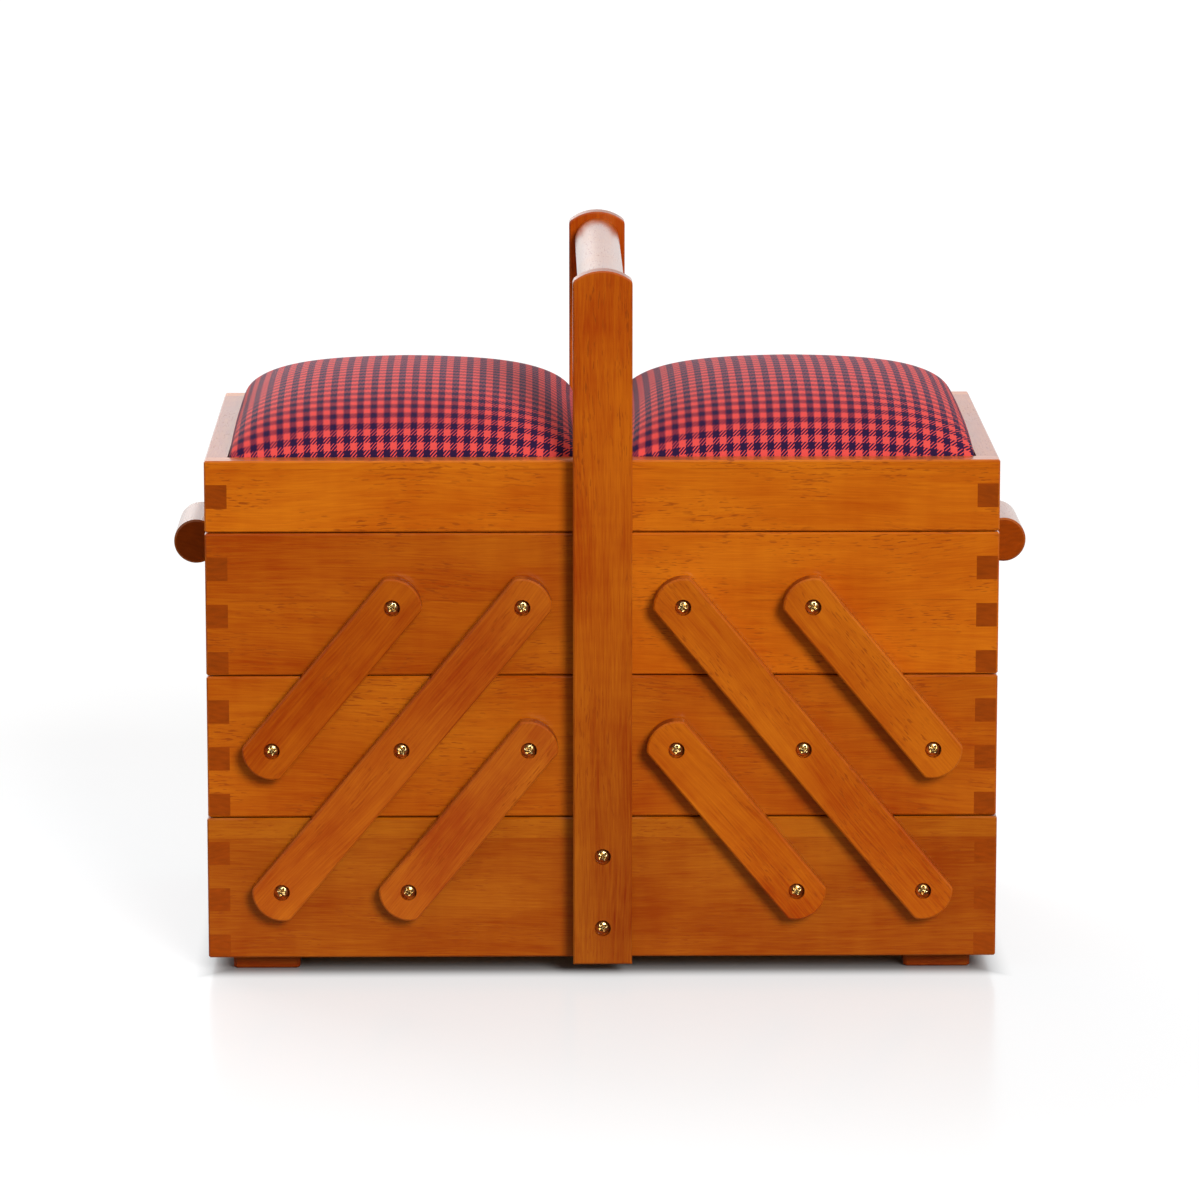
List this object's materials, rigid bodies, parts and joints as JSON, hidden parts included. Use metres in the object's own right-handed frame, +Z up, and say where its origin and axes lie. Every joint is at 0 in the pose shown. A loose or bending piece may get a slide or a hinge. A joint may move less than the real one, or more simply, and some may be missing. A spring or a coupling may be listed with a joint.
{
  "type": "sewing carrier with two lids",
  "caption": "Wooden cantilever sewing carrier with fold-out trays on flat arms, padded check lids and a bar handle between posts.",
  "frame": {"origin": "on the ground under the middle of the carrier", "axes": "+X to the right over the wide side, -Y out of the front, +Z up"},
  "size_m": [0.4364, 0.245, 0.3588],
  "materials": {
    "box_wood": "varnished beech, satin",
    "arm_wood": "varnished beech, satin",
    "plywood": "plain sanded",
    "checked_fabric": "matt woven check",
    "brass": "satin"
  },
  "bodies": {
    "base": {"base_front_board": "box_wood", "base_back_board": "box_wood", "base_left_board": "box_wood", "base_right_board": "box_wood", "base_bottom": "plywood", "feet": "box_wood", "front_post": "arm_wood", "rear_post": "arm_wood", "handle_bar": "arm_wood", "base_screws": "brass"},
    "left_long_arms": {"left_long_arms": "arm_wood"},
    "left_middle_tray": {"left_middle_front_board": "box_wood", "left_middle_back_board": "box_wood", "left_middle_outer_board": "box_wood", "left_middle_inner_board": "box_wood", "left_middle_bottom": "plywood", "left_middle_screws": "brass"},
    "left_top_tray": {"left_top_front_board": "box_wood", "left_top_back_board": "box_wood", "left_top_outer_board": "box_wood", "left_top_inner_board": "box_wood", "left_top_bottom": "plywood", "left_top_screws": "brass", "left_pull": "arm_wood", "left_lower_hinges": "brass"},
    "left_lid": {"left_lid_front_rail": "box_wood", "left_lid_back_rail": "box_wood", "left_lid_outer_rail": "box_wood", "left_lid_inner_rail": "box_wood", "left_lid_panel": "plywood", "left_cushion": "checked_fabric", "left_upper_hinges": "brass"},
    "left_lower_arms": {"left_lower_arms": "arm_wood"},
    "left_upper_arms": {"left_upper_arms": "arm_wood"},
    "right_long_arms": {"right_long_arms": "arm_wood"},
    "right_middle_tray": {"right_middle_front_board": "box_wood", "right_middle_back_board": "box_wood", "right_middle_outer_board": "box_wood", "right_middle_inner_board": "box_wood", "right_middle_bottom": "plywood", "right_middle_screws": "brass"},
    "right_top_tray": {"right_top_front_board": "box_wood", "right_top_back_board": "box_wood", "right_top_outer_board": "box_wood", "right_top_inner_board": "box_wood", "right_top_bottom": "plywood", "right_top_screws": "brass", "right_pull": "arm_wood", "right_lower_hinges": "brass"},
    "right_lid": {"right_lid_front_rail": "box_wood", "right_lid_back_rail": "box_wood", "right_lid_outer_rail": "box_wood", "right_lid_inner_rail": "box_wood", "right_lid_panel": "plywood", "right_cushion": "checked_fabric", "right_upper_hinges": "brass"},
    "right_lower_arms": {"right_lower_arms": "arm_wood"},
    "right_upper_arms": {"right_upper_arms": "arm_wood"}
  },
  "joints": [
    {"name": "left_fold", "type": "hinge", "parent": "base", "child": "left_long_arms", "pos_m": [-0.161, 0, 0.0445], "axis": [0, -1, 0], "range_deg": [0, 79.61]},
    {"name": "left_middle_tray_pivot", "type": "hinge", "parent": "left_long_arms", "child": "left_middle_tray", "pos_m": [-0.1005, 0, 0.1171], "axis": [0, -1, 0], "range_deg": [-79.61, 0]},
    {"name": "left_top_tray_pivot", "type": "hinge", "parent": "left_long_arms", "child": "left_top_tray", "pos_m": [-0.04, 0, 0.1897], "axis": [0, -1, 0], "range_deg": [-79.61, 0]},
    {"name": "left_lower_arm_pivot", "type": "hinge", "parent": "base", "child": "left_lower_arms", "pos_m": [-0.0974, 0, 0.0445], "axis": [0, -1, 0], "range_deg": [0, 79.61]},
    {"name": "left_upper_arm_pivot", "type": "hinge", "parent": "left_middle_tray", "child": "left_upper_arms", "pos_m": [-0.1653, 0, 0.1171], "axis": [0, -1, 0], "range_deg": [0, 79.61]},
    {"name": "left_lid_hinge", "type": "hinge", "parent": "left_top_tray", "child": "left_lid", "pos_m": [-0.19965, 0, 0.226], "axis": [0, -1, 0], "range_deg": [0, 110]},
    {"name": "right_fold", "type": "hinge", "parent": "base", "child": "right_long_arms", "pos_m": [0.161, 0, 0.0445], "axis": [0, 1, 0], "range_deg": [0, 79.61]},
    {"name": "right_middle_tray_pivot", "type": "hinge", "parent": "right_long_arms", "child": "right_middle_tray", "pos_m": [0.1005, 0, 0.1171], "axis": [0, 1, 0], "range_deg": [-79.61, 0]},
    {"name": "right_top_tray_pivot", "type": "hinge", "parent": "right_long_arms", "child": "right_top_tray", "pos_m": [0.04, 0, 0.1897], "axis": [0, 1, 0], "range_deg": [-79.61, 0]},
    {"name": "right_lower_arm_pivot", "type": "hinge", "parent": "base", "child": "right_lower_arms", "pos_m": [0.0974, 0, 0.0445], "axis": [0, 1, 0], "range_deg": [0, 79.61]},
    {"name": "right_upper_arm_pivot", "type": "hinge", "parent": "right_middle_tray", "child": "right_upper_arms", "pos_m": [0.1653, 0, 0.1171], "axis": [0, 1, 0], "range_deg": [0, 79.61]},
    {"name": "right_lid_hinge", "type": "hinge", "parent": "right_top_tray", "child": "right_lid", "pos_m": [0.19965, 0, 0.226], "axis": [0, 1, 0], "range_deg": [0, 110]}
  ],
  "couplings": [
    {"joint": "left_middle_tray_pivot", "follows": "left_fold", "ratio": -1},
    {"joint": "left_top_tray_pivot", "follows": "left_fold", "ratio": -1},
    {"joint": "left_lower_arm_pivot", "follows": "left_fold", "ratio": 1},
    {"joint": "left_upper_arm_pivot", "follows": "left_fold", "ratio": 1},
    {"joint": "right_middle_tray_pivot", "follows": "right_fold", "ratio": -1},
    {"joint": "right_top_tray_pivot", "follows": "right_fold", "ratio": -1},
    {"joint": "right_lower_arm_pivot", "follows": "right_fold", "ratio": 1},
    {"joint": "right_upper_arm_pivot", "follows": "right_fold", "ratio": 1}
  ]
}
